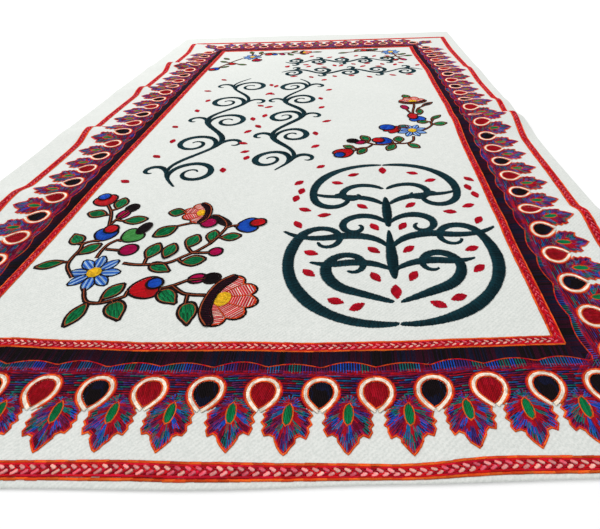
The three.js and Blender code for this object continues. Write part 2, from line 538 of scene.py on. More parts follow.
def sew(name, stitches, seed):
    """Lays a piece's stitches on the cloth as one mesh."""
    ends, looks = bent_over_crests(np.array(stitches.ends), np.array(stitches.looks))
    shades, widths, lifts = looks[:, :3], looks[:, 3], looks[:, 4]
    start_x, start_y, end_x, end_y = ends.T
    height = GROUND_THICKNESS + STITCH_CLEARANCE + lifts
    starts = cloth_points(start_x, start_y, height)
    stops = cloth_points(end_x, end_y, height)
    guide = bpy.data.meshes.new(name + " guide")
    places = np.stack([starts, stops], axis=1).reshape(-1, 3)
    pairs = np.arange(len(places)).reshape(-1, 2)
    guide.from_pydata(places, pairs.tolist(), [])

    def store(label, kind, field, values):
        values = np.ascontiguousarray(values, np.float32)
        guide.attributes.new(label, kind, "EDGE").data.foreach_set(field, values.ravel())

    facing = cloth_facing((start_x + end_x) / 2, (start_y + end_y) / 2)
    store("facing", "FLOAT_VECTOR", "vector", facing)
    store("width", "FLOAT", "value", widths * MM)
    store("shade", "FLOAT_COLOR", "color", np.column_stack([shades, np.ones(len(shades))]))
    holder = add_object(name + " guide", guide)
    modifier = holder.modifiers.new("stitches", "NODES")
    modifier.node_group = STITCH_TREE
    inputs = {i.name: i.identifier for i in STITCH_TREE.interface.items_tree if i.in_out == "INPUT"}
    modifier[inputs["Seed"]] = seed
    modifier[inputs["Yarn"]] = WOOL_YARN
    evaluated = holder.evaluated_get(bpy.context.evaluated_depsgraph_get())
    mesh = bpy.data.meshes.new_from_object(evaluated)
    mesh.name = name
    holder.modifiers.remove(modifier)
    bpy.data.objects.remove(holder)
    bpy.data.meshes.remove(guide)
    return finished_piece(name, mesh)


# Lines and fills, in any flat frame

def curve_through(points, closed=False, step=0.8):
    """A smooth line through a few points, sampled at even steps along it."""
    points = np.array(points, float)
    count = len(points)
    spans = count if closed else count - 1
    span_parts = 12
    fine = []
    for i in range(spans):
        if closed:
            p = [points[(i + k) % count] for k in (-1, 0, 1, 2)]
        else:
            p = [points[min(max(i + k, 0), count - 1)] for k in (-1, 0, 1, 2)]
        for t in np.linspace(0, 1, span_parts, endpoint=False):
            fine.append(0.5 * (
                2 * p[1] + (p[2] - p[0]) * t
                + (2 * p[0] - 5 * p[1] + 4 * p[2] - p[3]) * t ** 2
                + (3 * p[1] - p[0] - 3 * p[2] + p[3]) * t ** 3
            ))
    fine.append(points[0] if closed else points[-1])
    return even_steps(fine, step)


def even_steps(line, step):
    """The same line with its points a step apart."""
    line = np.array(line, float)
    lengths = np.linalg.norm(np.diff(line, axis=0), axis=1)
    travel = np.concatenate([[0], np.cumsum(lengths)])
    stops = np.linspace(0, travel[-1], max(2, round(travel[-1] / step) + 1))
    return np.column_stack([np.interp(stops, travel, line[:, k]) for k in (0, 1)])


def picked(yarn):
    """One yarn, taken by chance where there is a choice."""
    return chance.choice(yarn) if isinstance(yarn, list) else yarn


def lap_of(start, end, length):
    """A short run in a stitch's own direction, by which it laps over the next one."""
    return (end - start) * length / (np.linalg.norm(end - start) + 0.01)


def line_stitches(stitches, line, yarn, width, length=2.6, lift=0.0):
    """A row of stitches end to end along a line."""
    stops = even_steps(line, length)
    for start, end in zip(stops[:-1], stops[1:]):
        lap = lap_of(start, end, 0.5)
        stitches.lay(start - lap, end + lap, picked(yarn), width, lift)


def corner_stitches(stitches, corners, yarn, width, length, lift):
    """A row of stitches from corner to corner, so that no point is rounded off."""
    for start, end in zip(corners[:-1], corners[1:]):
        parts = max(1, round(np.linalg.norm(end - start) / length))
        lap = lap_of(start, end, 0.4)
        for k in range(parts):
            low = start + (end - start) * k / parts
            high = start + (end - start) * (k + 1) / parts
            stitches.lay(low - lap, high + lap, picked(yarn), width, lift)


def left_of(run):
    """A unit step to the left of each run."""
    run = run / (np.linalg.norm(run, axis=1, keepdims=True) + 1e-9)
    return np.column_stack([-run[:, 1], run[:, 0]])


def offset_line(line, distance):
    """A line beside another, on its left where distance is above zero."""
    return line + distance * left_of(np.gradient(line, axis=0))


def satin_fill(outline, angle, pitch=0.95, longest=8.0):
    """Side-by-side stitches that fill a closed outline, each row split where it would be too long."""
    overlap = 0.7
    turn = np.array([[math.cos(angle), math.sin(angle)], [-math.sin(angle), math.cos(angle)]])
    ring = np.array(outline, float) @ turn.T
    following = np.roll(ring, -1, axis=0)
    rows = []
    level = ring[:, 1].min() + pitch / 2
    while level < ring[:, 1].max():
        crossing = (ring[:, 1] > level) != (following[:, 1] > level)
        a, b = ring[crossing], following[crossing]
        cuts = np.sort(a[:, 0] + (level - a[:, 1]) / (b[:, 1] - a[:, 1]) * (b[:, 0] - a[:, 0]))
        for low, high in zip(cuts[::2], cuts[1::2]):
            parts = max(1, math.ceil((high - low) / longest))
            shift = chance.uniform(-0.12, 0.12) if parts > 1 else 0
            shifts = [0] + [shift] * (parts - 1) + [0]
            stops = [low + (high - low) * (k + aside) / parts for k, aside in enumerate(shifts)]
            for index, (start, end) in enumerate(zip(stops[:-1], stops[1:])):
                start -= overlap if index > 0 else 0
                end += overlap if index < parts - 1 else 0
                rows.append((np.array([start, level]) @ turn, np.array([end, level]) @ turn))
        level += pitch
    return rows


class Spot:
    """The flat frame that a motif is worked in: across its axis first, then outward along it."""

    def __init__(self, x, y, outward, size=1.0):
        self.centre = np.array([x, y], float)
        self.axis = np.array([math.cos(outward), math.sin(outward)])
        self.across = np.array([math.sin(outward), -math.cos(outward)])
        self.size = size

    def place(self, points):
        points = np.atleast_2d(np.array(points, float)) * self.size
        return self.centre + points[:, :1] * self.across + points[:, 1:] * self.axis


def lay_in(stitches, spot, start, end, yarn, width, lift=0.0):
    """One stitch, from place to place in a motif's frame."""
    start, end = spot.place([start, end])
    stitches.lay(start, end, yarn, width, lift)


def fill_motif(stitches, spot, outline, yarns, lean=90, pitch=0.95, longest=8.0, lift=0.0):
    """Fills an outline in a motif's frame. Lean is the stitches' slope there, 90 along its axis."""
    fullness = 1.25
    for index, (start, end) in enumerate(satin_fill(outline, math.radians(lean), pitch, longest)):
        yarn = yarns[index % len(yarns)] if isinstance(yarns, list) else yarns
        lay_in(stitches, spot, start, end, yarn, pitch * fullness, lift)


def edge_motif(stitches, spot, outline, yarn, width, scale, lift):
    """Works a line round a motif, at a share of its outline's size."""
    outline = np.array(outline, float)
    middle = (outline.min(0) + outline.max(0)) / 2
    line = middle + (outline - middle) * scale
    line_stitches(stitches, spot.place(line), yarn, width, lift=lift)


def mirrored(half):
    """A closed outline from its right half, which runs from one end of the axis to the other."""
    return half + [(-a, b) for a, b in reversed(half[1:-1])]


# Border

# A side of the border: its drops from the first place on, the drops whose next one is alike,
# and how far the motifs drift along the side and out from it, at even stations
Side = namedtuple("Side", "name outward half_length first count first_yarn alike_after drift out_drift")
SIDES = [
    Side("near", -90, HALF_WIDTH, -208, 14, "navy", [12], [-3, -3, -2, -1, -2], [0, 0]),
    Side("far", 90, HALF_WIDTH, -213, 14, "red", [], [5, 2, 2, 2, -1], [3, 2, 4, 4, 1]),
    Side("left", 180, HALF_LENGTH, -387, 25, "red", [], [-7, -8, -6, -7, -3, -4, -7, -7, -7], [-2, -2]),
    Side(
        "right", 0, HALF_LENGTH, -393, 25, "navy", [],
        [-1, -2, -3, -2, 1, 0, -6, -7, -7], [-1, -2, -2, -1, -4],
    ),
]

# Places of the border's parts, by the distance out from the inner braid's middle
BAND_START_OUT = 2.9
BAND_OUT = 12.4
BAND_CUSP = 3.3
HATCH_END_OUT = 20.2
DROP_OUT = 33.6
RING_RADIUS = 11.7
LEAF_BASE_OUT = 36
CORNER_LEAF_OUT = 25.5
CORNER_HALF_PITCH = 14.2

# Right half of a drop, from its round foot to its tip, about its middle
DROP_HALF = [(0, -7.6), (3.9, -6.7), (6.5, -3.8), (7.1, -0.2), (6.3, 3), (4.2, 6), (1.8, 8.6), (0, 10)]
# Right half of a leaf, from its root beside the rings to its tip, by the distance out from its root
LEAF_LENGTH = 33
LEAF_HALF = [
    (4.4, 0.6), (6.2, 3.4), (8.6, 6), (10.9, 8.6), (13, 11), (11.7, 13.4), (13.3, 16.2), (11.5, 18.2),
    (12.3, 20.6), (10.8, 23.8), (8, 22.8), (5.6, 24.2), (5.2, 26.4), (3.3, 29.2), (1.3, 31.8),
    (0, LEAF_LENGTH),
]
# The point of that outline where the leaf's red and orange edges start
LEAF_EDGE_START = 3
# Green heart of a leaf: how far it lies from the root, and half its length and width
HEART_MIDDLE, HEART_LONG, HEART_WIDE = 11, 6.4, 2.5
BRIGHT_YARNS = ["sea blue", "plum", "teal", "sea blue", "violet", "wine", "teal", "plum", "royal blue"]
NECK_YARNS = ["sea blue", "plum", "violet", "wine", "plum", "crimson", "crimson", "teal", "wine"]
# Dark yarns laid wide and low between bright stitches, as painted shade in the gaps between them
GAP_SHADE_YARNS = ["dusk", "maroon", "dusk", "navy", "dark crimson"]
BAND_YARNS = ["maroon", "navy", "black", "dusk", "maroon"]


def side_place(side, along, out):
    """Layout place at a distance along a side of the frame and out from the inner braid."""
    if side.name == "near":
        return (CENTRE_X + along, CENTRE_Y - HALF_LENGTH - out)
    if side.name == "far":
        return (CENTRE_X + along, CENTRE_Y + HALF_LENGTH + out)
    if side.name == "left":
        return (CENTRE_X - HALF_WIDTH - out, CENTRE_Y + along)
    return (CENTRE_X + HALF_WIDTH + out, CENTRE_Y + along)


# Rows that run along a plait, with their place beside its middle and their width as shares of its own
PlaitRow = namedtuple("PlaitRow", "aside width lift yarns")
PLAIT_ROWS = [
    PlaitRow(-0.44, 0.19, 0.2, ["orange", "orange", "burnt orange"]),
    PlaitRow(0.44, 0.19, 0.2, ["orange", "orange", "burnt orange"]),
    PlaitRow(-0.29, 0.2, 0.25, ["red", "raspberry"]),
    PlaitRow(0.29, 0.2, 0.25, ["red", "raspberry"]),
    PlaitRow(0, 0.62, 0, ["crimson", "red", "raspberry"]),
]
LINK_SHARE = 0.62
# Slanted cells and strands: how far beside the middle they start and end, as shares of its width
CELL_OUTER = 0.22
CELL_INNER = 0.05


def work_braid(stitches, side, out, width, cell_width, cell_yarns):
    """A plait: orange rails, red rows inside them, and pale slanted cells between crimson strands."""
    if side.name != "near":
        cell_width *= 0.6
        cell_yarns = ["pink", "raspberry", "pink"]
    reach = side.half_length + out
    links = round(2 * reach / (width * LINK_SHARE))
    link = 2 * reach / links
    lap = 0.9
    wobble = 0.15

    def lay(a, b, yarn, thick, lift):
        start = side_place(side, a[0], out + a[1] + chance.uniform(-wobble, wobble))
        end = side_place(side, b[0], out + b[1] + chance.uniform(-wobble, wobble))
        stitches.lay(start, end, picked(yarn), thick, lift)

    for index in range(links):
        low = index * link - reach
        high = low + link
        for row in PLAIT_ROWS:
            aside = row.aside * width
            mitre = aside or 0.3 * width
            start = low - (mitre if index == 0 else lap)
            stop = high + (mitre if index == links - 1 else lap)
            lay((start, aside), (stop, aside), row.yarns, row.width * width, row.lift)
        for edge, turn in ((1, 0), (-1, 0.5)):
            inner, outer = edge * width * CELL_INNER, edge * width * CELL_OUTER
            cell = low + link * (0.2 + turn)
            strand = low + link * (0.7 - turn)
            if cell + link * 0.7 < reach:
                lay((cell, outer), (cell + link * 0.56, inner), cell_yarns, cell_width, 0.3)
            tail = (strand + link * 0.62, inner * 0.5)
            lay((strand, outer * 1.1), tail, ["crimson", "crimson", "red"], STITCH_WIDTH, 0.42)


def station_value(side, along, values):
    """A side's value at a place along it, from its even stations."""
    return np.interp(along, np.linspace(-side.half_length, side.half_length, len(values)), values)


def drop_places(side):
    even = [side.first + MOTIF_PITCH * k for k in range(side.count)]
    return [along + station_value(side, along, side.drift) for along in even]


def band_edge(side, along):
    """Where the dark band ends: a shallow arch between two drops and a cusp at each of them."""
    along_even = along - station_value(side, along, side.drift)
    cusp = 1 - abs(math.sin((along_even - side.first) / MOTIF_PITCH * math.pi))
    wander = 0.5 * math.sin(along * 0.11 + side.outward)
    return BAND_OUT + BAND_CUSP * cusp + wander


def past_corner(side, along):
    """How far a place lies past the end of its side of the inner braid."""
    return abs(along) - side.half_length


def shade_runs(side, past_end, pitch, yarns, longest):
    """Places along a side, past both its ends, with the yarn of the run of one shade that each is in."""
    along = -side.half_length - past_end
    left = 0
    while along < side.half_length + past_end:
        if left <= 0:
            main = chance.choice(yarns)
            left = chance.uniform(3, longest)
        yield along, main
        along += pitch
        left -= pitch


def work_dark_band(stitches, side):
    """Stitches across the band next to the inner braid, maroon, navy and black, and its orange edge."""
    line = []
    for along, main in shade_runs(side, past_end=18, pitch=0.85, yarns=BAND_YARNS, longest=14):
        low = max(BAND_START_OUT, past_corner(side, along) - 1)
        high = band_edge(side, along)
        if high > low:
            yarn = main if chance.random() < 0.55 else chance.choice(BAND_YARNS)
            lean = chance.uniform(-0.15, 0.15)
            start = side_place(side, along, low)
            end = side_place(side, along + lean, high + 0.7)
            stitches.lay(start, end, yarn, 1.15)
        if high > past_corner(side, along) - 0.5:
            line.append(side_place(side, along, high + 0.3))
    line_stitches(stitches, line, ["burnt orange", "burnt orange", "red"], 0.85, lift=0.3)


def ring_top(side, along):
    """How far out the ring of the nearest drop begins here, or the end of the hatching between two."""
    nearest = min(abs(along - place) for place in drop_places(side))
    if nearest < RING_RADIUS:
        return DROP_OUT - math.sqrt(RING_RADIUS ** 2 - nearest ** 2)
    return DROP_OUT


def work_hatching(stitches, side):
    """A row of short stitches out from the dark band, in runs of one shade, bright ones by turns with
    wider, lower dark ones that are painted shade in the gaps between them.
    """
    slant = 0.2
    shortest = 0.8
    is_bright = True
    for along, main in shade_runs(side, past_end=22, pitch=0.8, yarns=BRIGHT_YARNS, longest=9):
        is_bright = not is_bright
        yarn = main if is_bright else chance.choice(GAP_SHADE_YARNS)
        low = max(band_edge(side, along) + 0.2, past_corner(side, along) - 1)
        end = min(HATCH_END_OUT + chance.uniform(-1.6, 0.8), ring_top(side, along) + 2)
        high = end + station_value(side, along, side.out_drift)
        if high - low > shortest:
            # Dark stitches are wider and lower, so that they show as painted shade between the bright ones
            width, lift = (0.9, 0.12) if is_bright else (1.3, 0)
            start = side_place(side, along, low)
            stitches.lay(start, side_place(side, along + slant, high), yarn, width, lift)


def ring_half_width(out):
    """Half the width of a drop with its rings, round above its middle and drawn in below it."""
    rise = out - DROP_OUT
    if rise < 0:
        return math.sqrt(max(0.0, RING_RADIUS ** 2 - rise ** 2))
    widths, heights = zip(*DROP_HALF)
    return float(np.interp(rise, heights, widths)) + RING_RADIUS - max(widths)


def work_neck(stitches, spot, half_pitch):
    """Stitches across the neck between two rings, down to the root of the leaf."""
    pitch = 0.78
    longest = 5.5
    tuck = 2
    lap = 0.4
    first_out = HATCH_END_OUT - 1.8
    red_until_out = HATCH_END_OUT + 1.6
    last_out = LEAF_BASE_OUT + 6.5
    out = first_out
    is_bright = True
    while out < last_out:
        half = half_pitch + tuck - ring_half_width(out)
        is_bright = not is_bright
        parts = max(1, round(2 * half / longest))
        stops = [half * (2 * k / parts - 1) for k in range(parts + 1)]
        stops[1:-1] = [stop + chance.uniform(-1.2, 1.2) for stop in stops[1:-1]]
        depth = out - LEAF_BASE_OUT
        for low, high in zip(stops[:-1], stops[1:]):
            bright = chance.choice(NECK_YARNS)
            # Every other row is dark, wider and lower: painted shade in the gaps between the bright rows
            yarn = bright if is_bright else chance.choice(GAP_SHADE_YARNS)
            if out < red_until_out:
                yarn = chance.choice(["crimson", "wine", "crimson", "plum"])
            slope = chance.uniform(-0.25, 0.25)
            width, lift = (0.95, 0.1) if is_bright else (1.3, 0)
            start, end = (low - lap, depth - slope), (high + lap, depth + slope)
            lay_in(stitches, spot, start, end, yarn, width, lift)
        out += pitch


def grown(outline, distance):
    """A closed outline that lies evenly outside another."""
    following, before = np.roll(outline, -1, axis=0), np.roll(outline, 1, axis=0)
    sign = -1 if turns_left(outline) else 1
    return outline + sign * distance * left_of(following - before)


def turns_left(outline):
    following = np.roll(outline, -1, axis=0)
    return np.sum(outline[:, 0] * following[:, 1] - following[:, 0] * outline[:, 1]) > 0


# Rows round a drop: how far outside it, how far up towards its tip, and their yarn
DropRing = namedtuple("DropRing", "distance reach width lift yarns")
DROP_RINGS = [
    DropRing(0.35, 12, 0.9, 0.4, ["orange", "burnt orange"]),
    DropRing(1.3, 14, 1.6, 0.3, "cream"),
    DropRing(2.3, 12.5, 1.6, 0.3, "cream"),
    DropRing(3.35, 11, 1.3, 0.35, ["orange", "orange", "burnt orange"]),
    DropRing(4.2, 10, 1.0, 0.25, ["red", "crimson"]),
]


def work_drop(stitches, spot, yarn):
    """A paisley drop: satin along it, a thin orange line, two cream rows, and orange and red lines."""
    drop = curve_through(mirrored(DROP_HALF), closed=True, step=1.0)
    shades = {"red": ["drop red", "crimson", "drop red"], "navy": ["black", "navy", "black"]}[yarn]
    fill_motif(stitches, spot, drop, shades, 90 + chance.uniform(-14, 14), pitch=1.0, longest=7)
    for ring in DROP_RINGS:
        row = grown(drop, ring.distance)
        row = np.roll(row, -int(np.argmax(row[:, 1])), axis=0)
        open_row = spot.place(row[row[:, 1] < ring.reach])
        line_stitches(stitches, open_row, ring.yarns, ring.width, 3.4, ring.lift)


def leaf_half(hand, lean):
    """One uneven half of a serrated leaf's outline, its tip leaning aside."""
    uneven = 0.35
    half = [
        (
            hand * a + lean * (b / LEAF_LENGTH) ** 3 + chance.uniform(-uneven, uneven),
            b + chance.uniform(-uneven, uneven),
        )
        for a, b in LEAF_HALF
    ]
    half[-1] = (lean, LEAF_LENGTH)
    return half


def work_feathers(stitches, spot, half, hand):
    """Feathers from a leaf's heart out to its edge, in runs of one shade, each in two or three parts."""
    root = (hand * 1.2, -1.5)
    outer_line = even_steps([root] + half, 0.96)
    left = 0
    for index, outer in enumerate(outer_line):
        if left <= 0:
            main = chance.choice(BRIGHT_YARNS)
            second = chance.choice(BRIGHT_YARNS + ["crimson", "crimson"])
            left = chance.choice([4, 5, 6])
        left -= 1
        turn = math.pi * (index / (len(outer_line) - 1)) ** 1.15
        inner = np.array([hand * HEART_WIDE * math.sin(turn), HEART_MIDDLE - HEART_LONG * math.cos(turn)])
        run = outer - inner
        run *= 1 - 0.9 / (np.linalg.norm(run) + 0.9)
        shares = [0, chance.uniform(0.26, 0.4), chance.uniform(0.58, 0.74), 1]
        for k, (low, high) in enumerate(zip(shares[:-1], shares[1:])):
            if k == 0 and index % 2:
                continue
            # Parts are bright and dark by turns; the mostly dark ones, wider and lower, are painted shade
            # between the bright feathers
            is_bright = (index + k) % 2 == 0
            bright = [chance.choice(["crimson", second]), second, main][k]
            dark = chance.choice(["crimson", "crimson", "dark crimson", "maroon", "dusk", "wine"])
            width, lift = (1.15, 0.12) if is_bright else (1.5, 0)
            start, end = inner + run * (low - 0.05), inner + run * (high + 0.05)
            lay_in(stitches, spot, start, end, bright if is_bright else dark, width, lift)


def work_border_leaf(stitches, spot):
    """A serrated leaf: a green oval heart, feathers fanned out from it, and red and orange edges."""
    lean = chance.uniform(-1.2, 1.2)
    for hand in (1, -1):
        half = leaf_half(hand, lean)
        work_feathers(stitches, spot, half, hand)
        edge = np.array(half[LEAF_EDGE_START:])
        inward = np.array([0, HEART_MIDDLE]) - edge
        inset = edge + 1.1 * inward / np.linalg.norm(inward, axis=1, keepdims=True)
        corner_stitches(stitches, spot.place(inset), ["red", "crimson"], 1.2, 2.4, 0.15)
        corner_stitches(stitches, spot.place(edge), ["orange", "burnt orange", "orange"], 1.1, 2.4, 0.25)
    oval = np.array([
        (HEART_WIDE * math.sin(t), HEART_MIDDLE - HEART_LONG * math.cos(t))
        for t in np.linspace(0, math.tau, 24, endpoint=False)
    ])
    fill_motif(stitches, spot, oval, "green", pitch=0.9, longest=20, lift=0.2)
    line_stitches(stitches, spot.place(grown(oval, 0.3)), "orange", 0.8, lift=0.35)


def motif_spot(side, along, out):
    out += station_value(side, along, side.out_drift)
    x, y = side_place(side, along + chance.uniform(-0.6, 0.6), out)
    lean = math.radians(side.outward + chance.uniform(-4, 4))
    return Spot(x, y, lean, chance.uniform(0.97, 1.02))


def corner_spot(side, hand):
    """Root of the leaf that stands aslant at a corner, between the last rings of two sides."""
    x, y = side_place(side, hand * (side.half_length + CORNER_LEAF_OUT), CORNER_LEAF_OUT)
    right = math.copysign(1, x - CENTRE_X)
    up = math.copysign(1, y - CENTRE_Y)
    return Spot(x, y, math.atan2(up, right))


def border_side(side):
    stitches = Stitches()
    work_dark_band(stitches, side)
    work_hatching(stitches, side)
    places = drop_places(side)
    others = {"red": "navy", "navy": "red"}
    for low, high in zip(places[:-1], places[1:]):
        spot = motif_spot(side, (low + high) / 2, LEAF_BASE_OUT)
        work_neck(stitches, spot, (high - low) / 2)
        work_border_leaf(stitches, spot)
    if side.name in ("near", "far"):
        for hand in (-1, 1):
            spot = corner_spot(side, hand)
            work_neck(stitches, spot, CORNER_HALF_PITCH)
            work_border_leaf(stitches, spot)
    yarn = side.first_yarn
    for index, along in enumerate(places):
        work_drop(stitches, motif_spot(side, along, DROP_OUT), yarn)
        if index not in side.alike_after:
            yarn = others[yarn]
    return sew("border_" + side.name, stitches, seed=len(places))


# Sprigs

# A leaf, bud or petal: its middle, the way that its tip points in degrees, its size and its yarn
Blob = namedtuple("Blob", "shape x y towards length width yarn", defaults=["green"])
leaf, spade, dot, heart = (partial(Blob, shape) for shape in ("leaf", "spade", "round", "heart"))
# Right halves of the shapes, from root to tip, in shares of the width and the length
LEAF = [(0, -0.52), (0.27, -0.34), (0.48, -0.08), (0.46, 0.16), (0.25, 0.38), (0, 0.52)]
ROUND = [(0, -0.5), (0.3, -0.42), (0.5, -0.12), (0.48, 0.2), (0.28, 0.44), (0, 0.5)]
HEART = [(0, -0.5), (0.3, -0.34), (0.5, 0), (0.48, 0.3), (0.3, 0.48), (0.12, 0.44), (0, 0.34)]
SPADE = [(0, -0.5), (0.34, -0.42), (0.5, -0.14), (0.42, 0.14), (0.2, 0.36), (0, 0.56)]
SHAPES = {"leaf": LEAF, "spade": SPADE, "round": ROUND, "heart": HEART}
# Cup of a flower, in shares of its reach
CUP_BACK = [(-0.7, 0.2), (-0.5, 0), (-0.26, -0.09), (0, -0.11), (0.26, -0.09), (0.5, 0), (0.7, 0.2)]
CUP_FRONT = [(0.62, 0.29), (0.3, 0.11), (0, 0.07), (-0.3, 0.11), (-0.62, 0.29)]


def shape_outline(shape, width, length, step=1.0):
    """A shape's closed outline at its width and length."""
    half = [(a * width, b * length) for a, b in shape]
    return curve_through(mirrored(half), closed=True, step=step)


def work_stem(stitches, points):
    """A stem: a light brown row between two dark ones."""
    line = curve_through(points, step=1.0)
    line_stitches(stitches, line, "bark", 0.8, lift=0.3)
    for hand in (-1, 1):
        line_stitches(stitches, offset_line(line, hand * 1.0), "soot", 1.7, lift=0.2)


def work_blob(stitches, blob, lift):
    """A leaf, bud or petal: satin along it, a thin brown row inside and a dark row round it."""
    spot = Spot(blob.x, blob.y, math.radians(blob.towards + chance.uniform(-3, 3)))
    outline = shape_outline(SHAPES[blob.shape], blob.width, blob.length)
    yarns = {"green": ["green", "green", "dark green"], "red": ["red", "scarlet"]}.get(blob.yarn, blob.yarn)
    fill_motif(stitches, spot, outline * 0.95, yarns, 90 + chance.uniform(-10, 10), longest=12, lift=lift)
    if blob.shape in ("leaf", "spade"):
        edge_motif(stitches, spot, outline, "bark", 0.8, 0.86, lift + 0.2)
    edge_motif(stitches, spot, outline, "soot", 1.9, 1.02, lift + 0.25)


def work_blobs(stitches, blobs, stems):
    """Works leaves and buds in their order, each on a short stalk and raised where it lies on another."""
    shortest_stalk, longest_stalk = 1.5, 16
    stem_points = np.concatenate([curve_through(points, step=1.0) for points in stems])
    lifts = []
    for index, blob in enumerate(blobs):
        below = [
            lifts[k] + 0.5 for k, other in enumerate(blobs[:index])
            if math.dist((blob.x, blob.y), (other.x, other.y)) < (blob.length + other.length) * 0.4
        ]
        lifts.append(max(below, default=0.0))
        radians = math.radians(blob.towards)
        back = blob.length / 2
        root = np.array([blob.x - back * math.cos(radians), blob.y - back * math.sin(radians)])
        gaps = np.linalg.norm(stem_points - root, axis=1)
        nearest = int(np.argmin(gaps))
        if shortest_stalk < gaps[nearest] < longest_stalk and not below:
            work_stem(stitches, [stem_points[nearest], (stem_points[nearest] + root) / 2, root])
        work_blob(stitches, blob, lifts[index])


def work_daisy(stitches, x, y, reach, start):
    """Eight blue petals with pale streaks round a yellow heart."""
    petals = 8
    middle = reach * 0.62
    outline = shape_outline(LEAF, reach * 0.46, reach * 0.8)
    streaks = ["royal blue", "sky blue", "ice blue", "sky blue"]
    for index in range(petals):
        radians = math.radians(start + 360 / petals * index + chance.uniform(-4, 4))
        spot = Spot(x + middle * math.cos(radians), y + middle * math.sin(radians), radians)
        fill_motif(stitches, spot, outline, streaks, pitch=0.9, longest=20)
        edge_motif(stitches, spot, outline, "black", 1.4, 1.02, 0.15)
    work_knots(stitches, x, y, reach * 0.28, reach * 0.28)


def work_knots(stitches, x, y, half_length, half_width, towards=0):
    """A yellow heart of short raised stitches."""
    spot = Spot(x, y, math.radians(towards))
    ring = np.array([
        (half_width * math.sin(t), half_length * math.cos(t))
        for t in np.linspace(0, math.tau, 16, endpoint=False)
    ])
    fill_motif(stitches, spot, ring, "yellow", 90, 0.85, 3.0, 0.5)
    fill_motif(stitches, spot, ring * 0.6, "yellow", 60, 0.85, 2.4, 0.8)


def work_fan(stitches, x, y, towards, reach, lobes):
    """A half-open flower: lobes striped pink and white, a yellow heart, and a dark cup behind them."""
    spread = 84
    narrowing = 0.76
    stripe_pitch = 0.95
    valley_share = 0.82
    lobe_rise = 0.18
    throat = reach * 0.2
    spot = Spot(x, y, math.radians(towards))
    lobe_turn = 2 * spread / lobes

    def polar(degrees, radius):
        radians = math.radians(degrees)
        return (narrowing * radius * math.sin(radians), radius * math.cos(radians))

    edge = []
    for index in range(lobes):
        low = -spread + index * lobe_turn
        for share in np.linspace(0, 1, 9):
            radius = reach * (valley_share + lobe_rise * math.sin(math.pi * share) ** 0.7)
            edge.append(polar(low + share * lobe_turn, radius))
        middle = low + lobe_turn / 2
        radius = throat
        while radius < reach * 0.97:
            half_turn = lobe_turn / 2 * min(1, 3.2 * (1.02 - radius / reach)) ** 0.5
            is_red = int(radius / stripe_pitch) % 2 == 0
            yarn = "petal red" if is_red else chance.choice(["cream", "blush"])
            start, end = polar(middle - half_turn, radius), polar(middle + half_turn, radius)
            lay_in(stitches, spot, start, end, yarn, 1.45 if is_red else 0.95)
            radius += stripe_pitch
        line = spot.place([polar(low, throat), polar(low, reach * valley_share)])
        line_stitches(stitches, line, "burnt orange", 1.0, 3.0, 0.3)
    rim = even_steps(edge, 1.0)
    line_stitches(stitches, spot.place(rim * 0.955), "burnt orange", 1.2, 2.4, 0.25)
    line_stitches(stitches, spot.place(rim), "soot", 1.5, 2.4, 0.2)
    work_cup(stitches, spot, reach)
    heart_x, heart_y = spot.place([(0, reach * 0.25)])[0]
    work_knots(stitches, heart_x, heart_y, reach * 0.17, reach * 0.2, towards)


def work_cup(stitches, spot, reach):
    """The dark cup behind a flower's lobes, edged in brown at its back and in soot all round."""
    back = reach * np.array(CUP_BACK)
    front = reach * np.array(CUP_FRONT)
    cup = curve_through(np.concatenate([back, front]), closed=True)
    fill_motif(stitches, spot, cup, ["maroon", "black"], longest=12, lift=0.5)
    line_stitches(stitches, spot.place(curve_through(back)), "bark", 1.0, 2.4, 0.8)
    line_stitches(stitches, spot.place(grown(cup[:-1], 0.8)), "soot", 1.4, 2.4, 0.7)


# The four sprigs: the points that each stem runs through, and leaves and buds in the order of work
NEAR_LEFT_STEMS = [
    [(-130, -319), (-130, -309), (-128, -301), (-123, -295)],
    [(-127, -308), (-115, -309)],
    [(-138, -343), (-148, -331), (-150, -321), (-149, -309), (-150, -301), (-143, -297)],
    [(-139, -277), (-142, -267), (-147, -253), (-155, -241)],
    [(-139, -272), (-137, -264)],
    [(-105, -325), (-94, -327), (-80, -326), (-68, -323), (-60, -316), (-50, -308)],
    [(-50, -308), (-42, -298), (-37, -286), (-34, -275), (-38, -265), (-46, -257)],
    [(-35, -277), (-30, -274), (-24, -273)],
    [(-54, -311), (-40, -311)],
    [(-122, -355), (-116, -366), (-110, -369), (-100, -368), (-88, -362)],
    [(-65, -353), (-56, -349), (-48, -344)],
    [(-57, -350), (-48, -357), (-42, -359), (-30, -360)],
    [(-43, -360), (-42, -368)],
    [(-78, -274), (-72, -271), (-64, -268)],
]
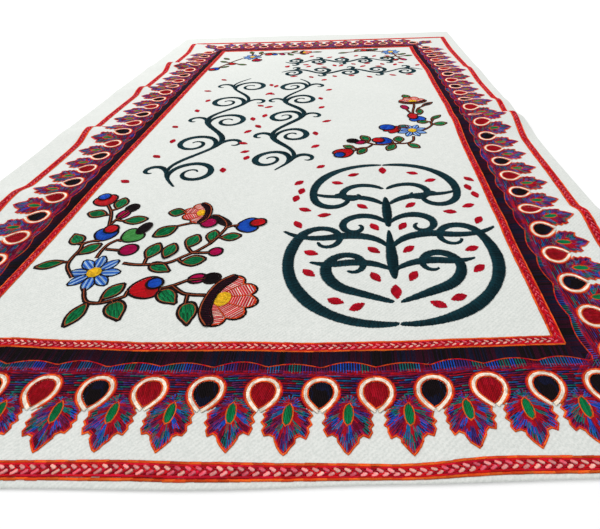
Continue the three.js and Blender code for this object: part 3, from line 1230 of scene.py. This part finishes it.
NEAR_LEFT_BLOBS = [
    leaf(-144, -237, 92, 20, 13), leaf(-159, -255, 165, 19, 13), leaf(-119, -265, 10, 21, 13),
    spade(-159, -294, 125, 17, 12), leaf(-141, -308, 50, 19, 12), leaf(-164, -328, 195, 21, 10),
    leaf(-87, -309, 80, 20, 13), leaf(-73, -309, 85, 19, 12), spade(-74, -330, -25, 19, 11),
    leaf(-50, -321, 10, 19, 13), leaf(-58, -295, 75, 18, 13), leaf(-43, -288, 85, 16, 11),
    leaf(-27, -290, 5, 17, 11), leaf(-85, -252, 180, 15, 13), leaf(-86, -282, 225, 22, 15),
    leaf(-115, -380, 255, 23, 11), leaf(-99, -357, 60, 19, 12), spade(-89, -376, -55, 20, 14),
    spade(-57, -361, -40, 20, 13), spade(-38, -377, -72, 21, 13),
    heart(-161, -232, 120, 20, 21, "red"), dot(-165, -225, 130, 11, 11, "royal blue"),
    heart(-137, -288, 85, 18, 19, "royal blue"), dot(-135, -280, 80, 12, 12, "red"),
    heart(-113, -289, 50, 18, 20, "light green"), dot(-106, -278, 75, 17, 9, "black"),
    dot(-134, -256, 75, 15, 10, "magenta"), dot(-130, -245, 75, 14, 11, "black"),
    heart(-16, -274, 10, 19, 21, "royal blue"), dot(-7, -271, 10, 14, 11, "red"),
    heart(-77, -353, 20, 24, 22, "red"), dot(-71, -348, 20, 12, 11, "royal blue"),
    dot(-41, -342, 10, 13, 10, "magenta"), dot(-30, -342, 5, 13, 11, "black"),
    dot(-35, -310, 10, 11, 10, "magenta"), dot(-41, -265, -43, 25, 8, "black"),
    dot(-51, -269, 10, 14, 13, "magenta"), dot(-108, -308, 10, 15, 14, "magenta"),
]
MID_RIGHT_STEMS = [
    [(160, -74), (168, -66), (173, -57), (172, -47)],
    [(173, -50), (175, -44), (178, -38)],
    [(143, -64), (136, -64), (130, -66)],
    [(153, -19), (155, -4), (158, 10), (159, 20)],
    [(151, -17), (148, -6), (146, 1)],
    [(160, -6), (163, 3), (171, 11)],
    [(147, -92), (146, -102), (142, -108), (135, -111), (123, -110), (108, -112), (99, -111)],
    [(99, -111), (93, -106), (89, -104)],
    [(97, -113), (92, -119), (84, -120), (77, -127)],
]
MID_RIGHT_BLOBS = [
    leaf(183, -56, 0, 17, 12), leaf(181, -33, 48, 20, 8), leaf(163, -10, 85, 21, 9),
    leaf(152, 52, 110, 17, 11), leaf(177, 18, 42, 20, 8, "teal shade"), leaf(145, -118, -50, 17, 10),
    leaf(129, -99, 95, 17, 12), leaf(119, -120, 245, 19, 11), leaf(86, -128, 240, 18, 10),
    leaf(90, -93, 120, 18, 11), leaf(71, -116, 150, 14, 9), leaf(138, -60, 150, 13, 10, "teal"),
    heart(124, -68, 225, 23, 18, "red"), dot(117, -62, 170, 19, 16, "royal blue"),
    heart(157, -35, 280, 18, 20, "royal blue"), dot(152, -27, 95, 19, 12, "red"),
    leaf(163, -47, 178, 14, 11), dot(145, 8, 110, 17, 9, "magenta"),
    heart(112, -103, 170, 19, 21, "royal blue"), dot(105, -100, 160, 14, 12, "red"),
    dot(84, -104, 170, 13, 10, "magenta"), dot(75, -100, 165, 13, 10, "black"),
    heart(66, -131, 215, 23, 21, "red"), dot(61, -137, 225, 12, 11, "royal blue"),
]
FAR_LEFT_STEMS = [
    [(-163, 236), (-156, 252), (-148, 270), (-140, 284), (-132, 296)],
    [(-156, 252), (-150, 256)],
    [(-148, 268), (-134, 258)],
    [(-108, 308), (-100, 318), (-95, 330), (-80, 334), (-66, 330), (-50, 332), (-36, 330), (-22, 326)],
    [(-116, 318), (-118, 332)],
    [(-106, 296), (-104, 290)],
]
FAR_LEFT_BLOBS = [
    heart(-169, 226, 240, 18, 18, "royal blue"), dot(-172, 220, 240, 11, 11, "red"),
    leaf(-153, 238, 40, 16, 8), leaf(-163, 274, 150, 17, 8), leaf(-163, 296, 130, 17, 8),
    dot(-144, 258, 60, 14, 14, "red"), leaf(-124, 252, -20, 17, 8),
    heart(-102, 282, -60, 17, 18, "red"), dot(-99, 276, -60, 10, 10, "magenta"),
    leaf(-121, 340, 110, 17, 8), leaf(-102, 338, 80, 16, 8), dot(-84, 323, -60, 16, 15, "red"),
    dot(-72, 321, -40, 11, 10, "royal blue"), dot(-57, 322, -60, 15, 9, "magenta"),
    leaf(-40, 318, -50, 16, 8), leaf(-34, 340, 50, 15, 8), leaf(12, 329, 10, 18, 8),
]
FAR_RIGHT_STEMS = [
    [(68, 322), (80, 325), (98, 328), (118, 328), (136, 324), (144, 322)],
    [(98, 328), (104, 331)],
    [(160, 308), (164, 296), (165, 285), (170, 272), (174, 266)],
    [(165, 285), (156, 280)],
]
FAR_RIGHT_BLOBS = [
    leaf(64, 320, 190, 17, 8), leaf(92, 338, 60, 16, 8), heart(107, 338, 80, 16, 17, "red"),
    dot(117, 336, 60, 13, 10, "navy"), leaf(128, 337, 50, 15, 8), leaf(148, 277, 200, 17, 8),
    leaf(178, 298, 30, 17, 8), leaf(188, 286, 10, 16, 8), dot(175, 260, -60, 15, 9, "magenta"),
    dot(160, 258, 240, 11, 9, "red"),
]
Flower = namedtuple("Flower", "x y towards reach lobes")
# A sprig's stems, its leaves and buds, its daisy (place, reach, way of a petal) and its flowers
SPRIGS = [
    (NEAR_LEFT_STEMS, NEAR_LEFT_BLOBS, (-123, -337, 20, 95), [
        Flower(-25, -363, -10, 35, 5), Flower(-56, -252, 188, 24, 4),
    ]),
    (MID_RIGHT_STEMS, MID_RIGHT_BLOBS, (147, -74, 18, 110), [Flower(159, 24, 95, 27, 4)]),
    (FAR_LEFT_STEMS, FAR_LEFT_BLOBS, (-114, 305, 18, 80), [Flower(-19, 327, 10, 22, 4)]),
    (FAR_RIGHT_STEMS, FAR_RIGHT_BLOBS, (158, 316, 18, 100), []),
]


def make_sprigs():
    stitches = Stitches()
    for stems, blobs, daisy, flowers in SPRIGS:
        for points in stems:
            work_stem(stitches, points)
        work_blobs(stitches, blobs, stems)
        work_daisy(stitches, *daisy)
        for flower in flowers:
            work_fan(stitches, *flower)
    return sew("field_sprigs", stitches, seed=21)


# Scrollwork

SCROLL_YARNS = ["deep teal", "deep teal", "teal shade"]
# Stroke widths of a vine's stem, of the curls drawn into its waves and of the small curls beside them
STEM_WIDTH = 6.84
CURL_WIDTH = 7.4
SMALL_CURL_WIDTH = 6.4
VINE_WAVES = 5
# Vines: where each starts and ends, and which way its first wave swings
VINES = [
    ((-104, -204), (-92, 162), 1),
    ((-6, -172), (-8, 150), -1),
    ((-44, 196), (196, 190), 1),
    ((-44, 262), (170, 264), -1),
]
SPIRAL_STEP = 12


def spiral(radius, hand, degrees, ending=0.2):
    """A curl as short runs and turns, drawn in from its radius to a small share of it."""
    steps = round(degrees / SPIRAL_STEP)
    runs = []
    for index in range(steps):
        now = radius * (1 - (1 - ending) * index / steps)
        runs.append((now * math.radians(SPIRAL_STEP), hand * SPIRAL_STEP))
    return runs


def walk(x, y, heading, runs):
    """The line from a place and heading, each run turning evenly over its length."""
    longest_part = 2.5
    line = [(x, y)]
    for length, turn in runs:
        parts = max(1, math.ceil(length / longest_part))
        for _ in range(parts):
            heading += turn / parts / 2
            x += length / parts * math.cos(math.radians(heading))
            y += length / parts * math.sin(math.radians(heading))
            heading += turn / parts / 2
            line.append((x, y))
    return line


def work_scroll(stitches, line, width):
    """Satin stitch across a stroke that is thin at both ends and swells in between."""
    pitch = 0.95
    slant = 0.5
    line = even_steps(line, pitch)
    count = len(line)
    run = np.gradient(line, axis=0)
    run /= np.linalg.norm(run, axis=1, keepdims=True)
    side = left_of(run)
    wander = chance.uniform(0, math.tau)
    for index in range(count):
        share = index / (count - 1)
        swell = 0.22 + 0.78 * math.sin(math.pi * share ** 0.8) ** 0.7
        half = width / 2 * swell * (1 + 0.08 * math.sin(index * 0.09 + wander))
        half += chance.uniform(-0.2, 0.2)
        start = line[index] - side[index] * half - run[index] * slant
        end = line[index] + side[index] * half + run[index] * slant
        stitches.lay(start, end, SCROLL_YARNS[index % len(SCROLL_YARNS)], 1.25)


def work_petal(stitches, x, y, towards, length=12, width=7):
    """A small red drop among the scrolls."""
    spot = Spot(x, y, math.radians(towards))
    outline = shape_outline(LEAF, width, length, step=0.8)
    fill_motif(stitches, spot, outline, "scroll red", lean=40, longest=12, lift=0.1)


MEDALLION = (106, -276)
# Right-hand strokes of the medallion: place from its middle, heading, width, runs of length and turn
MEDALLION_STROKES = [
    (1, -112, -6, 10, [(40, 30), (44, 36), (36, 32), (30, 24)] + spiral(20, 1, 330)),
    (1, 112, 6, 9, [(42, -36), (38, -40), (30, -34)] + spiral(20, -1, 300)),
    (3, -92, 22, 9, [(34, 0), (24, 50)] + spiral(19, 1, 330)),
    (2, -58, 40, 8, [(20, -30), (20, -20), (24, 30)]),
    (2, -30, 62, 9, [(22, -44), (26, -30), (26, 20), (20, 30)]),
    (2, 4, 60, 8, [(20, -50), (18, -50)] + spiral(13, -1, 300)),
    (3, 34, 52, 8, [(24, -40), (26, -10), (22, 30)]),
    (2, 62, 44, 8, [(24, -50), (20, -60)] + spiral(12, -1, 260)),
]
# Right-hand petals of the medallion: place from its middle and the way each points
MEDALLION_PETALS = [
    (30, 92, 340), (46, 76, 20), (84, 76, 130), (84, 46, 100), (80, 60, 100), (74, 27, 20), (56, 18, 350),
    (22, 31, 40), (78, 3, 60), (64, -36, 20), (14, -66, 60), (14, -34, 40),
    (64, -60, 40), (28, -96, 330), (43, -90, 20), (12, -2, 60),
]


def make_scrolls():
    """The medallion, mirrored about its two upright strokes, and the vines."""
    stitches = Stitches()
    middle_x, middle_y = MEDALLION
    for hand in (1, -1):
        for x, y, heading, width, runs in MEDALLION_STROKES:
            start = heading if hand > 0 else 180 - heading
            turned = [(length, hand * turn) for length, turn in runs]
            work_scroll(stitches, walk(middle_x + hand * x, middle_y + y, start, turned), width)
        for x, y, towards in MEDALLION_PETALS:
            turned = towards if hand > 0 else 180 - towards
            work_petal(stitches, middle_x + hand * x, middle_y + y, turned)
    for y in (-82, 100):
        work_petal(stitches, middle_x, middle_y + y, 90, length=14, width=8)
    for low, high in ((-68, -8), (-2, 46)):
        work_scroll(stitches, [(middle_x, middle_y + low), (middle_x, middle_y + high)], width=9)
    for start, end, first_hand in VINES:
        work_vine(stitches, start, end, first_hand)
    return sew("field_scrolls", stitches, seed=31)


def work_vine(stitches, start, end, first_hand):
    """A running vine: a waving stem, a curl drawn into each wave, and small drops beside them."""
    start, end = np.array(start, float), np.array(end, float)
    length = np.linalg.norm(end - start)
    along = (end - start) / length
    left = np.array([-along[1], along[0]])
    course = math.degrees(math.atan2(along[1], along[0]))
    wave = length / VINE_WAVES
    swing = wave * 0.26

    def at(share, aside):
        return start + along * share * wave + left * aside

    shares = np.linspace(0, VINE_WAVES, 20 * VINE_WAVES)
    work_scroll(stitches, [at(t, first_hand * swing * math.sin(t * math.pi)) for t in shares], STEM_WIDTH)
    for index in range(VINE_WAVES):
        hand = first_hand * (1 if index % 2 == 0 else -1)
        x, y = at(index + 0.16, hand * swing * 0.48)
        curl = spiral(wave * 0.36, -hand, 560, 0.14)
        work_scroll(stitches, walk(x, y, course + hand * 36, curl), CURL_WIDTH)
        x, y = at(index + 0.36, hand * (swing - 1))
        bend = [(wave * 0.16, hand * 24), (wave * 0.12, hand * 40)] + spiral(wave * 0.15, hand, 230, 0.3)
        work_scroll(stitches, walk(x, y, course + hand * 14, bend), SMALL_CURL_WIDTH)
        for share, aside, lean in ((0.92, 0.6, 40), (0.12, 0.74, 60), (0.5, -0.56, 10)):
            x, y = at(index + share, hand * wave * aside)
            turn = course + hand * (lean + chance.uniform(-15, 15))
            work_petal(stitches, x, y, turn, chance.uniform(10, 13))


# Making the panel

def ground_lines(size, step):
    """Even grid lines across the cloth, closer at its rounded edges."""
    half = size / 2
    inner = np.linspace(-half + EDGE_LINES[-1], half - EDGE_LINES[-1], round(size / step))
    low = [-half + inward for inward in EDGE_LINES[:-1]]
    high = [half - inward for inward in reversed(EDGE_LINES[:-1])]
    return np.concatenate([low, inner, high])


def make_ground():
    """The wool cloth, a thin closed sheet with a softly rounded, turned-under edge."""
    columns = ground_lines(CLOTH_WIDTH, GROUND_COLUMN_STEP)
    rows = ground_lines(CLOTH_LENGTH, GROUND_ROW_STEP)
    x, y = (axis.ravel() for axis in np.meshgrid(columns, rows))
    inward = np.minimum(CLOTH_WIDTH / 2 - abs(x), CLOTH_LENGTH / 2 - abs(y))
    radius = GROUND_THICKNESS / 2
    edge = np.clip(1 - inward / EDGE_ROUND, 0, 1)
    half_thick = radius * np.sqrt(1 - edge ** 2)
    top = cloth_points(x, y, radius + half_thick)
    under = cloth_points(x, y, radius - half_thick)

    # The under layer's rim is the top layer's own, and the points that this leaves over are dropped
    across = len(columns)
    layer = len(x)
    corner = (np.arange(len(rows) - 1)[:, None] * across + np.arange(across - 1)).ravel()
    quads = np.stack([corner, corner + 1, corner + across + 1, corner + across], axis=1)
    on_rim = inward < 1e-6
    lower = np.where(on_rim, np.arange(layer), np.arange(layer) + layer)
    faces = np.concatenate([quads, lower[quads[:, ::-1]]])
    used = np.unique(faces)
    renumbered = np.zeros(2 * layer, int)
    renumbered[used] = np.arange(len(used))
    mesh = bpy.data.meshes.new("ground cloth")
    mesh.from_pydata(np.concatenate([top, under])[used], [], renumbered[faces].tolist())
    mesh.materials.append(wool_twill())
    return finished_piece("wool_ground", mesh)


def make_braids():
    pieces = []
    for name, out, width, cell_width, cells in (
        ("inner_braid", 0, 7.2, 1.6, ["blush", "pink", "blush"]),
        ("outer_braid", OUTER_BRAID_OUT, 8.4, 2.4, ["blush", "pale pink", "pale pink", "pink"]),
    ):
        stitches = Stitches()
        for side in SIDES:
            work_braid(stitches, side, out, width, cell_width, cells)
        pieces.append(sew(name, stitches, seed=int(out) + 2))
    return pieces


# Camera, floor and light

# The photograph's own view: the picture and the place in it that the lens looks at straight on, in
# pixels, and the camera's place in millimetres and its turns in degrees
PICTURE_WIDTH = 600
PICTURE_HEIGHT = 529
LENS_MIDDLE_X = 346.7
LENS_MIDDLE_Y = 263.0
FOCAL_PIXELS = 408.8
CAMERA_PLACE = (79.48872, -570.51666, 204.62711)
CAMERA_PITCH = 40.08
CAMERA_YAW = -1.46
CAMERA_ROLL = -1.94
SENSOR_WIDTH = 36


def make_camera():
    """A low view from the near edge. The offset centre is the picture's crop."""
    pitch, yaw, roll = (math.radians(turn) for turn in (CAMERA_PITCH, CAMERA_YAW, CAMERA_ROLL))
    forward = Vector((math.sin(yaw) * math.cos(pitch), math.cos(yaw) * math.cos(pitch), -math.sin(pitch)))
    level = Vector((math.cos(yaw), -math.sin(yaw), 0))
    upright = level.cross(forward)
    right = math.cos(roll) * level + math.sin(roll) * upright
    up = -math.sin(roll) * level + math.cos(roll) * upright
    data = bpy.data.cameras.new("camera")
    data.sensor_width = SENSOR_WIDTH
    data.lens = FOCAL_PIXELS / PICTURE_WIDTH * SENSOR_WIDTH
    data.shift_x = (PICTURE_WIDTH / 2 - LENS_MIDDLE_X) / PICTURE_WIDTH
    data.shift_y = (LENS_MIDDLE_Y - PICTURE_HEIGHT / 2) / PICTURE_WIDTH
    data.clip_start = 0.01
    camera = add_object("camera", data)
    turned = Matrix((right, up, -forward)).transposed().to_4x4()
    camera.matrix_world = Matrix.Translation(Vector(CAMERA_PLACE) * MM) @ turned
    bpy.context.scene.camera = camera


def make_floor():
    """A wide pale floor, a hair below the cloth."""
    half = 6
    corners = [(-half, -half, 0), (half, -half, 0), (half, half, 0), (-half, half, 0)]
    mesh = bpy.data.meshes.new("floor")
    mesh.from_pydata(corners, [], [(0, 1, 2, 3)])
    floor = add_object("floor", mesh)
    floor.location.z = -0.2 * MM
    material = bpy.data.materials.new("pale floor")
    material.use_nodes = True
    shader = material.node_tree.nodes["Principled BSDF"]
    shader.inputs["Base Color"].default_value = (0.97, 0.97, 0.97, 1)
    shader.inputs["Roughness"].default_value = 0.9
    mesh.materials.append(material)


def make_light():
    """A pale room and one large soft lamp high on the far left."""
    world = bpy.data.worlds.new("room")
    world.use_nodes = True
    background = world.node_tree.nodes["Background"]
    background.inputs["Color"].default_value = (1, 1, 1, 1)
    background.inputs["Strength"].default_value = 0.8
    bpy.context.scene.world = world
    data = bpy.data.lights.new("soft lamp", "AREA")
    data.energy = 29
    data.size = 1.6
    lamp = add_object("soft lamp", data)
    lamp.location = (-0.9, 1.2, 1.7)
    lamp.rotation_mode = "QUATERNION"
    lamp.rotation_quaternion = (-Vector(lamp.location)).to_track_quat("-Z", "Y")
    bpy.context.scene.view_settings.view_transform = "Standard"


make_camera()
WOOL_YARN = wool_yarn()
STITCH_TREE = stitch_tree()
ground = make_ground()
stitching = make_braids()
for border in SIDES:
    stitching.append(border_side(border))
stitching.append(make_sprigs())
stitching.append(make_scrolls())
make_floor()
make_light()
